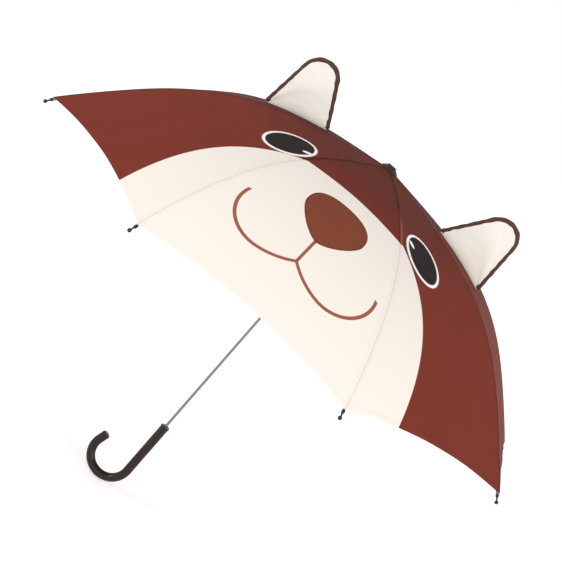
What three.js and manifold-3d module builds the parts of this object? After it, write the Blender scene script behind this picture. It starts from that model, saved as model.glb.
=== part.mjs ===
// Children's crook-handle umbrella with a bear-face canopy and two standing ears.
// Millimetres, +Z up along the shaft. The origin is on the shaft's axis, level with the crook's lowest
// point.
// The face looks towards -Y, the crook curls towards -X. Azimuth 0 is -Y and turns towards +X.
// The umbrella is drawn open, which is its rest pose.
import * as THREE from "three";
import { mergeVertices } from "three/addons/utils/BufferGeometryUtils.js";
import Module from "manifold-3d";

const wasm = await Module();
wasm.setup();

// ---- driving dimensions -------------------------------------------------------------------------
const clearance = 0.35; // gap left between pieces that touch or slide

// canopy
const ribCount = 8;
const canopyRadius = 400; // axis to a corner of the canopy
const canopyRise = 195.6; // corner level to the crown
const cornerHeight = 390; // crook's lowest point to corner level
const crownSlope = 0.15; // fall per millimetre beside the crown
const ribBend = 3.5; // how late the profile bends down towards the corner
const gorePuff = 5.5; // how far a gore stands out of the straight line between its ribs, at the hem
const hemScallop = 7.5; // how far the hem is cut back half-way between two corners
const fabricThickness = 0.8;
const seamGap = 0.9; // between the solids of two neighbouring gores
const crownHoleRadius = 6;

// shaft, crook and grip
const shaftRadius = 2.2;
const shaftWall = 0.45;
const gripRadius = 6.25;
const gripTop = 119.9;
const crookRadius = 29.3; // centre line of the bend
const crookTurn = 195; // degrees from the straight grip to the hook's straight end
const crookEndLength = 12;
const shaftInsertion = 60; // how deep the shaft sits in the grip
const collarHeight = 2.8;
const collarOverhang = 0.4;
const collarChamfer = 0.8;
const endPlugHeight = 1.6;
const endPlugChamfer = 1.6;

// crown: notch, wire, rosette and ferrule
const pivotRadius = 8; // axis to the hinge wires of the notch and the runner
const wireRadius = 0.5;
const hubRim = 3; // hinge wire to the outside of the notch and of the runner's crown
const hubHeight = 8;
const rosetteInset = 1; // edge of the rosette to the edge of the notch
const rosetteThickness = 0.6;
const ferruleOverhang = 2; // the ferrule's edge past the notch
const ferruleEdge = 1.6; // height of the ferrule's upright edge
const ferruleFlatRadius = 6.5;
const ferruleHeight = 6.4; // above the crown
const ferruleRoof = 4.15; // thickness of the ferrule over the end of the shaft

// ribs, stretchers and tips
const ribHeight = 2.6;
const ribWidth = 2.0;
const ribGap = 1.1; // inner face of the fabric to the rib
const ribFirstSeat = 26; // axis to where the rib first runs under the fabric
const ribOverrun = 4; // the rib's end past the corner, inside the tip
const jointRadius = 170; // axis to the joint of rib and stretcher
const stretcherHeight = 2.4;
const forkLength = 13; // from the joint to the root of the stretcher's fork
const forkWall = 0.8;
const rivetRadius = 0.55;
const rivetHeadRadius = 1.3;
const rivetHeadHeight = 0.5;
const eyeWall = 0.6; // how far a rib's eyes stand out above and below the bar
const tipCollarRadius = 2.8;
const tipCollarLength = 5;
const tipNeckRadius = 1.1;
const tipBeadRadius = 2.5;
const tipLength = 13.4;

// runner and its two spring catches
const sleeveRadius = 5.6;
const sleeveLength = 42; // below the stretcher hinges
const thumbRingRadius = 7.4;
const thumbRingHeight = 3;
const catchWidth = 1.2;
const catchHeight = 13;
const catchStand = 2.1; // the catch's nose above the tube
const catchBack = 0.45; // axis to the catch's back, inside the tube
const catchLatch = 3; // height of the catch's blunt nose
const windowHeight = 15;
const windowDrop = 28; // runner's hinges to the middle of its window
const stopPinRadius = 0.6;
const stopPinStand = 2.2; // the pin's ends above the tube
const closedTurn = 62; // degrees that a rib turns down when the umbrella is closed

// ears
const earCentreRadius = 157; // axis to the middle of the ear's round top
const earCentreStand = 63.6; // middle of the ear's round top above the fabric
const earTopRadius = 25.7; // centre line of the ear's piping
const earInnerFoot = 99; // axis to the piping's inner foot
const earOuterFoot = 187.4; // axis to the piping's outer foot
const earInnerTangent = 148.5; // degrees where the straight inner side meets the round top
const pipingRadius = 1.8;
const earThickness = 2.4;

// tie strap on the back gore
const strapWidth = 14;
const strapLength = 82;
const strapInset = 22; // the strap's free end inside the canopy's radius
const strapThickness = 0.8;
const strapGap = 0.65; // fabric to strap
const studRadius = 4.5;
const studHeight = 1.6;
const studInset = 3; // edge of the stud to the strap's end

// ---- values that follow from them ---------------------------------------------------------------
const ribAngle = (2 * Math.PI) / ribCount;
const halfGore = ribAngle / 2;
const crownHeight = cornerHeight + canopyRise;
const boreRadius = shaftRadius + clearance;
const slotWidth = ribWidth + 2 * clearance;
const eyeRadius = ribHeight / 2 + eyeWall;
const slotRadius = pivotRadius - eyeRadius - clearance;
const wireGroove = wireRadius + clearance;
const hubRadius = pivotRadius + hubRim;
const rosetteRadius = hubRadius - rosetteInset;
const rosetteTop = crownHeight - crownSlope * rosetteRadius - fabricThickness - clearance;
const notchHeight = rosetteTop - rosetteThickness - clearance - hubHeight / 2; // rib hinges
const ferruleRadius = hubRadius + ferruleOverhang;
const shaftTop = crownHeight + ferruleHeight - ferruleRoof - clearance;
const shaftBore = shaftRadius - shaftWall;
const ribDepth = fabricThickness + ribGap + ribHeight / 2; // fabric's outer face to the rib's centre line
const catchReach = shaftRadius + catchStand;
const stopPinReach = shaftRadius + stopPinStand;
const strapEnd = canopyRadius - strapInset;
const strapStart = strapEnd - strapLength;
const strapDepth = strapGap + strapThickness; // fabric to the strap's outer face
const crookCentreHeight = crookRadius + gripRadius;

const radians = THREE.MathUtils.degToRad;

function profileHeight(r) {
  const bend = canopyRise - crownSlope * canopyRadius;
  return crownHeight - crownSlope * r - bend * Math.pow(r / canopyRadius, ribBend);
}

function profileTangent(r) {
  const bend = canopyRise - crownSlope * canopyRadius;
  const fall = crownSlope + (bend * ribBend / canopyRadius) * Math.pow(r / canopyRadius, ribBend - 1);
  return new THREE.Vector2(1, -fall).normalize();
}

// Point below the outer face at the seam, in the rib's own plane: x is the distance to the axis, y the
// height.
function underSeam(r, depth) {
  const along = profileTangent(r);
  return new THREE.Vector2(r + along.y * depth, profileHeight(r) - along.x * depth);
}

// Point of a gore's face. The gore's middle lies over local +X, "across" runs from -1 to 1 between its ribs.
function gorePoint(r, across, depth) {
  const along = profileTangent(r);
  const puff = gorePuff * Math.pow(r / canopyRadius, 2) * (1 - across * across) - depth;
  const sideways = Math.sign(across) * Math.max(0, Math.abs(across) * r * Math.sin(halfGore) - seamGap / 2);
  const outward = r * Math.cos(halfGore) - along.y * puff;
  return new THREE.Vector3(outward, sideways, profileHeight(r) + along.x * puff);
}

const joint = underSeam(jointRadius, ribDepth);
const linkLength = Math.hypot(joint.x - pivotRadius, notchHeight - joint.y);
const linkAngle = Math.atan2(notchHeight - joint.y, joint.x - pivotRadius);
const runnerHeight = notchHeight - 2 * linkLength * Math.sin(linkAngle);
const runnerClosedHeight = notchHeight - 2 * linkLength * Math.sin(linkAngle + radians(closedTurn));

// ---- solids -------------------------------------------------------------------------------------
// A closed three.js geometry as a manifold solid, turned right side out.
function solid(geometry) {
  geometry.deleteAttribute("normal");
  geometry.deleteAttribute("uv");
  const merged = mergeVertices(geometry, 1e-4);
  const place = merged.getAttribute("position");
  const kept = [];
  let volume = 0;
  const [a, b, c] = [new THREE.Vector3(), new THREE.Vector3(), new THREE.Vector3()];
  for (let i = 0; i < merged.index.count; i += 3) {
    const corners = [0, 1, 2].map((k) => merged.index.getX(i + k));
    if (new Set(corners).size < 3) continue;
    [a, b, c].forEach((point, k) => point.fromBufferAttribute(place, corners[k]));
    volume += a.dot(b.cross(c));
    kept.push(corners);
  }
  const triVerts = Uint32Array.from(kept.flatMap(([i, j, k]) => (volume < 0 ? [i, k, j] : [i, j, k])));
  const vertProperties = new Float32Array(place.array);
  return new wasm.Manifold(new wasm.Mesh({ numProp: 3, vertProperties, triVerts }));
}

function geometryOf(manifold) {
  const mesh = manifold.getMesh();
  const geometry = new THREE.BufferGeometry();
  geometry.setAttribute("position", new THREE.BufferAttribute(new Float32Array(mesh.vertProperties), 3));
  geometry.setIndex(Array.from(mesh.triVerts));
  return geometry;
}

// Turned piece about +Z from [radius, height] points.
function turned(points, segments) {
  const profile = points.map(([r, z]) => new THREE.Vector2(r, z));
  return solid(new THREE.LatheGeometry(profile, segments).rotateX(Math.PI / 2));
}

function ring(inner, outer, low, high, segments) {
  return turned([[inner, low], [outer, low], [outer, high], [inner, high], [inner, low]], segments);
}

function disc(radius, low, high, segments) {
  return turned([[0, low], [radius, low], [radius, high], [0, high]], segments);
}

function block(x0, x1, y0, y1, z0, z1) {
  const box = new THREE.BoxGeometry(x1 - x0, y1 - y0, z1 - z0);
  return solid(box.translate((x0 + x1) / 2, (y0 + y1) / 2, (z0 + z1) / 2));
}

// Flat plate in the XZ plane, from a THREE.Shape drawn in x and z, centred on y.
function plate(shape, width, middle = 0) {
  const flat = new THREE.ExtrudeGeometry(shape, { depth: width, bevelEnabled: false, curveSegments: 12 });
  return solid(flat.rotateX(Math.PI / 2).translate(0, middle + width / 2, 0));
}

// Round pin along Y through (x, z).
function crossPin(radius, x, z, y0, y1, segments) {
  const pin = new THREE.CylinderGeometry(radius, radius, y1 - y0, segments);
  return solid(pin.translate(x, (y0 + y1) / 2, z));
}

// Bar of constant height around a line of points in the XZ plane.
function barShape(line, height) {
  const sides = [1, -1].map((side) => line.map((point, i) => {
    const before = line[Math.max(i - 1, 0)];
    const after = line[Math.min(i + 1, line.length - 1)];
    const along = after.clone().sub(before).normalize();
    return new THREE.Vector2(point.x - along.y * side * height / 2, point.y + along.x * side * height / 2);
  }));
  return new THREE.Shape([...sides[0], ...sides[1].reverse()]);
}

function swept(curve, radius, sides, steps) {
  const section = new THREE.Shape();
  for (let i = 0; i < sides; i += 1) {
    const turn = (2 * Math.PI * (i + 0.5)) / sides;
    const corner = [radius * Math.cos(turn), radius * Math.sin(turn)];
    if (i === 0) section.moveTo(...corner);
    else section.lineTo(...corner);
  }
  section.closePath();
  return solid(new THREE.ExtrudeGeometry(section, { steps, extrudePath: curve, bevelEnabled: false }));
}

// Line in the XZ plane made of straight runs and arcs, sampled by its length.
class PlaneCurve extends THREE.Curve {
  constructor(pieces) {
    super();
    this.pieces = pieces;
    this.total = pieces.reduce((sum, piece) => sum + piece.length, 0);
  }

  getPoint(t) {
    let left = t * this.total;
    for (const piece of this.pieces) {
      if (left <= piece.length || piece === this.pieces.at(-1)) return piece.at(left / piece.length);
      left -= piece.length;
    }
    return null;
  }
}

function straight(x0, z0, x1, z1) {
  const length = Math.hypot(x1 - x0, z1 - z0);
  return { length, at: (t) => new THREE.Vector3(x0 + (x1 - x0) * t, 0, z0 + (z1 - z0) * t) };
}

function arc(x, z, radius, from, to) {
  const length = radius * Math.abs(to - from);
  const turn = (t) => from + (to - from) * t;
  const at = (t) => new THREE.Vector3(x + radius * Math.cos(turn(t)), 0, z + radius * Math.sin(turn(t)));
  return { length, at };
}

// Notch or runner crown: a castellated disc whose slots hold the eyes, with an open groove for the hinge
// wire.
function castellated(body, pivotHeight, slotInner) {
  const low = pivotHeight - hubHeight / 2 - 1;
  const high = pivotHeight + hubHeight / 2 + 1;
  const slot = block(slotInner, hubRadius + 2, -slotWidth / 2, slotWidth / 2, low, high);
  const bottom = pivotHeight - wireGroove;
  const groove = ring(pivotRadius - wireGroove, pivotRadius + wireGroove, bottom, high, 24);
  let cut = body.subtract(groove);
  for (let i = 0; i < ribCount; i += 1) {
    cut = cut.subtract(slot.rotate([0, 0, THREE.MathUtils.radToDeg(ribAzimuth(i)) - 90]));
  }
  return cut;
}

// ---- placing ------------------------------------------------------------------------------------
const umbrella = new THREE.Group();

const looks = {
  steel: { color: 0x9a9a9d, roughness: 0.3, metalness: 1 },
  darkSteel: { color: 0x3c3a3b, roughness: 0.4, metalness: 1 },
  black: { color: 0x262324, roughness: 0.35, metalness: 0 },
  grip: { color: 0x46393a, roughness: 0.18, metalness: 0 },
  brown: { color: 0x7d3c30, roughness: 0.8, metalness: 0 },
  cream: { color: 0xfdf5e9, roughness: 0.8, metalness: 0 },
  piping: { color: 0x4b2823, roughness: 0.75, metalness: 0 },
};

function add(name, manifold, look, turn = 0) {
  const mesh = new THREE.Mesh(geometryOf(manifold), new THREE.MeshStandardMaterial(looks[look]));
  mesh.name = name;
  mesh.rotation.z = turn;
  umbrella.add(mesh);
}

function ribAzimuth(i) {
  return -Math.PI + (i + 0.5) * ribAngle;
}

function goreAzimuth(i) {
  return -Math.PI + i * ribAngle;
}

// Local +X is turned to an azimuth.
function facing(azimuth) {
  return azimuth - Math.PI / 2;
}

// ---- shaft and handle ---------------------------------------------------------------------------
function catchHoles(body) {
  const tall = catchHeight / 2 + clearance;
  const wide = catchWidth / 2 + clearance;
  return catchHeights().reduce(
    (tube, z) => tube.subtract(block(-wide, wide, 0, shaftRadius + 1, z - tall, z + tall)),
    body,
  );
}

function catchHeights() {
  const open = runnerHeight - sleeveLength - clearance - catchHeight / 2;
  const closed = runnerClosedHeight - windowDrop;
  return [open, closed];
}

const stopPinHeight = runnerHeight + hubHeight / 2 + clearance + stopPinRadius;

function makeShaft() {
  const tube = ring(shaftBore, shaftRadius, gripTop - shaftInsertion, shaftTop, 16);
  const through = shaftRadius + 1;
  const pinHole = crossPin(stopPinRadius + clearance, 0, stopPinHeight, -through, through, 10);
  return catchHoles(tube).subtract(pinHole.rotate([0, 0, 90]));
}

function crookCurve() {
  const endTurn = -radians(crookTurn);
  const endX = -crookRadius + crookRadius * Math.cos(endTurn);
  const endZ = crookCentreHeight + crookRadius * Math.sin(endTurn);
  const along = { x: Math.sin(endTurn), z: -Math.cos(endTurn) };
  const tipX = endX + along.x * crookEndLength;
  const tipZ = endZ + along.z * crookEndLength;
  const curve = new PlaneCurve([
    straight(0, gripTop - collarHeight - clearance, 0, crookCentreHeight),
    arc(-crookRadius, crookCentreHeight, crookRadius, 0, endTurn),
    straight(endX, endZ, tipX, tipZ),
  ]);
  return { curve, tipX, tipZ, along };
}

function makeCrook() {
  const hole = disc(boreRadius, gripTop - shaftInsertion - clearance, gripTop + 1, 16);
  return swept(crookCurve().curve, gripRadius, 12, 24).subtract(hole);
}

function makeEndPlug() {
  const { tipX, tipZ, along } = crookCurve();
  const plug = turned([
    [0, clearance],
    [gripRadius, clearance],
    [gripRadius, endPlugHeight * 0.6],
    [gripRadius - endPlugChamfer, endPlugHeight],
    [0, endPlugHeight],
  ], 12);
  const lean = THREE.MathUtils.radToDeg(Math.atan2(along.x, along.z));
  return plug.rotate([0, lean, 0]).translate([tipX, 0, tipZ]);
}

function makeCollar() {
  const outer = gripRadius + collarOverhang;
  return turned([
    [boreRadius, gripTop - collarHeight],
    [outer, gripTop - collarHeight],
    [outer, gripTop - collarChamfer],
    [outer - collarChamfer, gripTop],
    [boreRadius, gripTop],
    [boreRadius, gripTop - collarHeight],
  ], 20);
}

// Leaf of spring steel with a sloped nose that stands out through the tube's slot, towards +Y.
function makeCatch(height) {
  const half = catchHeight / 2;
  const latch = half - 0.2 * catchLatch;
  const nose = new THREE.Shape([
    new THREE.Vector2(catchBack, -half),
    new THREE.Vector2(shaftBore, -half),
    new THREE.Vector2(catchReach, half - catchLatch),
    new THREE.Vector2(catchReach, latch),
    new THREE.Vector2(shaftBore, half),
    new THREE.Vector2(catchBack, half),
  ]);
  return plate(nose, catchWidth).rotate([0, 0, 90]).translate([0, 0, height]);
}

function makeStopPin() {
  return crossPin(stopPinRadius, 0, stopPinHeight, -stopPinReach, stopPinReach, 10).rotate([0, 0, 90]);
}

add("shaft_tube", makeShaft(), "steel");
add("crook_handle", makeCrook(), "grip");
add("crook_end_plug", makeEndPlug(), "grip");
add("handle_collar", makeCollar(), "grip");
add("top_catch", makeCatch(catchHeights()[0]), "darkSteel");
add("bottom_catch", makeCatch(catchHeights()[1]), "darkSteel");
add("stop_pin", makeStopPin(), "darkSteel");

// ---- crown --------------------------------------------------------------------------------------
function hingeWire(height) {
  const wire = new THREE.TorusGeometry(pivotRadius, wireRadius, 5, 24);
  return solid(wire.translate(0, 0, height));
}

function makeNotch() {
  const low = notchHeight - hubHeight / 2;
  const high = notchHeight + hubHeight / 2;
  return castellated(ring(boreRadius, hubRadius, low, high, 16), notchHeight, slotRadius);
}

function makeRosette() {
  const low = notchHeight + hubHeight / 2 + clearance;
  return ring(boreRadius + 0.4, rosetteRadius, low, low + rosetteThickness, 16);
}

function makeFerrule() {
  const rim = profileHeight(ferruleRadius) + clearance;
  const top = crownHeight + ferruleHeight;
  return turned([
    [0, shaftTop + clearance],
    [boreRadius, shaftTop + clearance],
    [boreRadius, crownHeight + clearance],
    [ferruleRadius, rim],
    [ferruleRadius, rim + ferruleEdge],
    [ferruleRadius - 1.4, rim + 2.5 * ferruleEdge],
    [ferruleFlatRadius + 1.8, top - 0.9],
    [ferruleFlatRadius, top],
    [0, top],
  ], 24);
}

add("top_notch", makeNotch(), "black");
add("notch_wire", hingeWire(notchHeight), "steel");
add("crown_rosette", makeRosette(), "piping");
add("ferrule_cap", makeFerrule(), "black");

// ---- runner -------------------------------------------------------------------------------------
function makeRunner() {
  const low = runnerHeight - sleeveLength;
  const reach = catchReach + clearance;
  const wide = catchWidth / 2 + clearance;
  const crown = ring(boreRadius, hubRadius, runnerHeight - hubHeight / 2, runnerHeight + hubHeight / 2, 16);
  const sleeve = ring(boreRadius, sleeveRadius, low, runnerHeight, 16);
  const thumbRing = ring(boreRadius, thumbRingRadius, low, low + thumbRingHeight, 16);
  const keyway = block(-wide, wide, 0, reach, low - 1, runnerHeight + hubHeight);
  const middle = runnerHeight - windowDrop;
  const half = windowHeight / 2;
  const window = block(-wide, wide, 0, sleeveRadius + 1, middle - half, middle + half);
  const body = crown.add(sleeve).add(thumbRing).subtract(keyway).subtract(window);
  return castellated(body, runnerHeight, slotRadius);
}

add("runner", makeRunner(), "black");
add("runner_wire", hingeWire(runnerHeight), "steel");

// ---- ribs, stretchers, rivets and tips ----------------------------------------------------------
function ribLine() {
  const line = [new THREE.Vector2(pivotRadius, notchHeight)];
  const stretches = 10;
  for (let i = 0; i <= stretches; i += 1) {
    const share = 1 - Math.pow(1 - i / stretches, 1.25);
    line.push(underSeam(ribFirstSeat + (canopyRadius - ribFirstSeat) * share, ribDepth));
  }
  const along = profileTangent(canopyRadius);
  line.push(line.at(-1).clone().addScaledVector(along, ribOverrun));
  return line;
}

function makeRib() {
  const half = ribWidth / 2;
  const hole = (x, z, radius) => crossPin(radius, x, z, -ribWidth, ribWidth, 8);
  const boss = (x, z) => crossPin(eyeRadius, x, z, -half, half, 8);
  return plate(barShape(ribLine(), ribHeight), ribWidth)
    .add(boss(pivotRadius, notchHeight))
    .add(boss(joint.x, joint.y))
    .subtract(hole(pivotRadius, notchHeight, wireRadius + clearance))
    .subtract(hole(joint.x, joint.y, rivetRadius + clearance));
}

// The stretcher lies along +X from the runner's hinge at the origin, then is turned up to the joint.
function makeStretcher() {
  const half = stretcherHeight / 2;
  const start = wireRadius + clearance + half;
  const forkRoot = linkLength - forkLength;
  const innerGap = ribWidth / 2 + clearance;
  const outer = innerGap + forkWall;
  const bar = block(start, forkRoot, -ribWidth / 2, ribWidth / 2, -half, half)
    .add(crossPin(half, start, 0, -ribWidth / 2, ribWidth / 2, 8));
  const bridge = block(forkRoot - 4, forkRoot + 0.5, -outer, outer, -half, half);
  const cheek = block(forkRoot, linkLength, innerGap, outer, -half, half)
    .add(crossPin(half, linkLength, 0, innerGap, outer, 8));
  const hole = crossPin(rivetRadius + clearance, linkLength, 0, -outer - 1, outer + 1, 8);
  const whole = bar.add(bridge).add(cheek).add(cheek.mirror([0, 1, 0])).subtract(hole);
  const lift = THREE.MathUtils.radToDeg(linkAngle);
  return whole.rotate([0, -lift, 0]).translate([pivotRadius, 0, runnerHeight]);
}

function makeRivet() {
  const seat = ribWidth / 2 + clearance + forkWall + clearance;
  const end = seat + rivetHeadHeight;
  return crossPin(rivetRadius, joint.x, joint.y, -end, end, 8)
    .add(crossPin(rivetHeadRadius, joint.x, joint.y, seat, end, 8))
    .add(crossPin(rivetHeadRadius, joint.x, joint.y, -end, -seat, 8));
}

function makeTip() {
  const bead = tipLength - tipBeadRadius;
  const socket = Math.hypot(ribWidth, ribHeight) / 2 + clearance;
  const mouth = seamGap / 2;
  const cap = turned([
    [0, ribOverrun + clearance],
    [socket, ribOverrun + clearance],
    [socket, mouth],
    [tipCollarRadius, mouth],
    [tipCollarRadius, tipCollarLength],
    [tipNeckRadius, tipCollarLength + 0.8],
    [tipNeckRadius, bead - tipBeadRadius * 0.85],
    [tipBeadRadius * 0.87, bead - tipBeadRadius * 0.5],
    [tipBeadRadius, bead],
    [tipBeadRadius * 0.6, tipLength - tipBeadRadius * 0.2],
    [0, tipLength],
  ], 8);
  const along = profileTangent(canopyRadius);
  const corner = underSeam(canopyRadius, ribDepth);
  const lean = THREE.MathUtils.radToDeg(Math.atan2(along.x, along.y));
  return cap.rotate([0, lean, 0]).translate([corner.x, 0, corner.y]);
}

for (let i = 0; i < ribCount; i += 1) {
  const turn = facing(ribAzimuth(i));
  add(`rib_${i + 1}`, makeRib(), "steel", turn);
  add(`stretcher_${i + 1}`, makeStretcher(), "steel", turn);
  add(`joint_rivet_${i + 1}`, makeRivet(), "darkSteel", turn);
  add(`rib_tip_${i + 1}`, makeTip(), "black", turn);
}

// ---- canopy -------------------------------------------------------------------------------------
// Closed sheet between an outer and an inner grid of points.
function sheet(rows, columns, pointAt) {
  const points = [];
  for (const depth of [0, 1]) {
    for (let i = 0; i <= rows; i += 1) {
      for (let j = 0; j <= columns; j += 1) points.push(pointAt(i / rows, j / columns, depth));
    }
  }
  const layer = (rows + 1) * (columns + 1);
  const at = (i, j, depth) => depth * layer + i * (columns + 1) + j;
  const faces = [];
  const quad = (a, b, c, d) => faces.push(a, b, c, a, c, d);
  for (let i = 0; i < rows; i += 1) {
    for (let j = 0; j < columns; j += 1) {
      quad(at(i, j, 0), at(i + 1, j, 0), at(i + 1, j + 1, 0), at(i, j + 1, 0));
      quad(at(i, j, 1), at(i, j + 1, 1), at(i + 1, j + 1, 1), at(i + 1, j, 1));
    }
    quad(at(i, 0, 0), at(i, 0, 1), at(i + 1, 0, 1), at(i + 1, 0, 0));
    quad(at(i, columns, 0), at(i + 1, columns, 0), at(i + 1, columns, 1), at(i, columns, 1));
  }
  for (let j = 0; j < columns; j += 1) {
    quad(at(0, j, 0), at(0, j + 1, 0), at(0, j + 1, 1), at(0, j, 1));
    quad(at(rows, j, 0), at(rows, j, 1), at(rows, j + 1, 1), at(rows, j + 1, 0));
  }
  const geometry = new THREE.BufferGeometry().setFromPoints(points);
  geometry.setIndex(faces);
  return solid(geometry);
}

function makeGore() {
  return sheet(9, 4, (down, side, depth) => {
    const across = 2 * side - 1;
    const edge = canopyRadius - hemScallop * (1 - across * across);
    const r = crownHoleRadius + (edge - crownHoleRadius) * Math.pow(down, 0.85);
    return gorePoint(r, across, depth * fabricThickness);
  });
}

const goreLooks = ["brown", "brown", "brown", "brown", "cream", "brown", "brown", "brown"];
for (let i = 0; i < ribCount; i += 1) {
  add(`canopy_gore_${i + 1}`, makeGore(), goreLooks[i], facing(goreAzimuth(i)));
}

// ---- ears ---------------------------------------------------------------------------------------
// Height of the gore's face on its middle line, at a distance x from the axis.
function middleFaceHeight(x) {
  let r = x / Math.cos(halfGore);
  for (let i = 0; i < 6; i += 1) r += (x - gorePoint(r, 0, 0).x) / Math.cos(halfGore);
  return gorePoint(r, 0, 0).z;
}

const pipingStand = pipingRadius + clearance;

function earCurve() {
  const z = middleFaceHeight(earCentreRadius) + earCentreStand;
  const start = radians(earInnerTangent);
  const turnX = earCentreRadius + earTopRadius * Math.cos(start);
  const turnZ = z + earTopRadius * Math.sin(start);
  return new PlaneCurve([
    straight(earInnerFoot, middleFaceHeight(earInnerFoot) + pipingStand, turnX, turnZ),
    arc(earCentreRadius, z, earTopRadius, start, 0),
    straight(earCentreRadius + earTopRadius, z, earOuterFoot, middleFaceHeight(earOuterFoot) + pipingStand),
  ]);
}

function makeEarPiping() {
  return swept(earCurve(), pipingRadius, 8, 20);
}

function makeEarPanel() {
  const inset = pipingRadius + clearance;
  const curve = earCurve();
  const steps = 18;
  const outline = [];
  for (let i = 0; i <= steps; i += 1) {
    const point = curve.getPoint(i / steps);
    const along = curve.getTangent(i / steps);
    outline.push(new THREE.Vector2(point.x + along.z * inset, point.z - along.x * inset));
  }
  const base = 6;
  const [inner, outer] = [outline[0].x, outline.at(-1).x];
  for (let i = 0; i <= base; i += 1) {
    const x = outer + ((inner - outer) * i) / base;
    outline.push(new THREE.Vector2(x, middleFaceHeight(x) + 2 * clearance));
  }
  return plate(new THREE.Shape(outline.slice(1, steps).concat(outline.slice(steps + 1))), earThickness);
}

for (const [side, azimuth] of [["left", -Math.PI / 2], ["right", Math.PI / 2]]) {
  add(`ear_panel_${side}`, makeEarPanel(), "cream", facing(azimuth));
  add(`ear_piping_${side}`, makeEarPiping(), "piping", facing(azimuth));
}

// ---- tie strap ----------------------------------------------------------------------------------
function makeStrap() {
  return sheet(8, 2, (down, side, depth) => {
    const r = strapStart + (strapEnd - strapStart) * down;
    const point = gorePoint(r, 0, depth * strapThickness - strapDepth);
    return point.setY((side - 0.5) * strapWidth);
  });
}

function makeStud() {
  const r = strapEnd - studRadius - studInset;
  const place = gorePoint(r, 0, -strapDepth - clearance);
  const along = profileTangent(r);
  const stud = turned([
    [0, 0],
    [studRadius, 0],
    [studRadius, studHeight / 2],
    [studRadius - 1, studHeight],
    [0, studHeight],
  ], 14);
  const lean = THREE.MathUtils.radToDeg(Math.atan2(-along.y, along.x));
  return stud.rotate([0, lean, 0]).translate([place.x, 0, place.z]);
}

add("tie_strap", makeStrap(), "brown", facing(Math.PI));
add("snap_stud", makeStud(), "darkSteel", facing(Math.PI));

export default umbrella;
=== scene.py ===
# %% [markdown]
# # A small bear umbrella, open
# A child's umbrella is a steel shaft with a crook handle, a cap of eight sewn cloth panels (gores) on
# eight ribs, and a runner that folds them. This one is printed with a bear's face and has two ears.
# This lesson dresses it: cloth, print, piping, glossy handle, light and camera.

# %% Load the frame
import math

import bpy
import numpy as np
from mathutils import Matrix, Vector


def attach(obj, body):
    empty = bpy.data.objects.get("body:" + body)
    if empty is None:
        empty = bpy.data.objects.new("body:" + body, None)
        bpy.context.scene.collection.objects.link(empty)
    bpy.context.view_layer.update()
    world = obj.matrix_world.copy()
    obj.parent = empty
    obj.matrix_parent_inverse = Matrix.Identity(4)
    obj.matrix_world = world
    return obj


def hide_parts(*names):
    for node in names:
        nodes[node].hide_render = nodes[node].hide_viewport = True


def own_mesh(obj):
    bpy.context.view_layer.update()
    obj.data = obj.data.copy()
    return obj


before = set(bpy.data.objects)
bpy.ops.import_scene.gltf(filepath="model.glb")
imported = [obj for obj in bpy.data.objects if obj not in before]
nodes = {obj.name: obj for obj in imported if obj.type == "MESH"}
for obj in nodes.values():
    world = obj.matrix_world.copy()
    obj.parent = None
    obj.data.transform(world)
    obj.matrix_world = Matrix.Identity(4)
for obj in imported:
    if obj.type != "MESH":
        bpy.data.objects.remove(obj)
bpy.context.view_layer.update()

# %% [markdown]
# ## Shader sums written as Python sums
# A material is a web of small nodes. Wiring "1 - mask" by hand takes a node, two inputs and a link, and
# a printed face needs dozens of them. One small class holds a socket and turns the ordinary signs
# + - * / into Math nodes, so that a formula for an ellipse looks like a formula for an ellipse.

# %% The Wire and Finish classes
class Wire:
    """An output socket. Signs between wires and numbers add Math nodes to the finish they belong to."""

    def __init__(self, finish, socket):
        self.finish = finish
        self.socket = socket

    def math(self, operation, *values):
        return self.finish.node("ShaderNodeMath", {"operation": operation}, dict(enumerate(values)))

    def __add__(self, other):
        return self.math("ADD", self, other)

    def __sub__(self, other):
        return self.math("SUBTRACT", self, other)

    def __rsub__(self, other):
        return self.math("SUBTRACT", other, self)

    def __mul__(self, other):
        return self.math("MULTIPLY", self, other)

    def __truediv__(self, other):
        return self.math("DIVIDE", self, other)

    def __pow__(self, other):
        return self.math("POWER", self, other)

    def __abs__(self):
        return self.math("ABSOLUTE", self)

    __radd__ = __add__
    __rmul__ = __mul__

    def sine(self):
        return self.math("SINE", self)

    def larger(self, other):
        return self.math("MAXIMUM", self, other)

    def smaller(self, other):
        return self.math("MINIMUM", self, other)

    def ramp(self, start, end):
        """0 below start, 1 above end and a smooth step between; falls instead when start is above end."""
        low, high = min(start, end), max(start, end)
        settings = {"interpolation_type": "SMOOTHSTEP"}
        inputs = {"Value": self, "From Min": low, "From Max": high, "To Min": 0.0, "To Max": 1.0}
        step = self.finish.node("ShaderNodeMapRange", settings, inputs)
        return step if start < end else 1 - step


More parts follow.
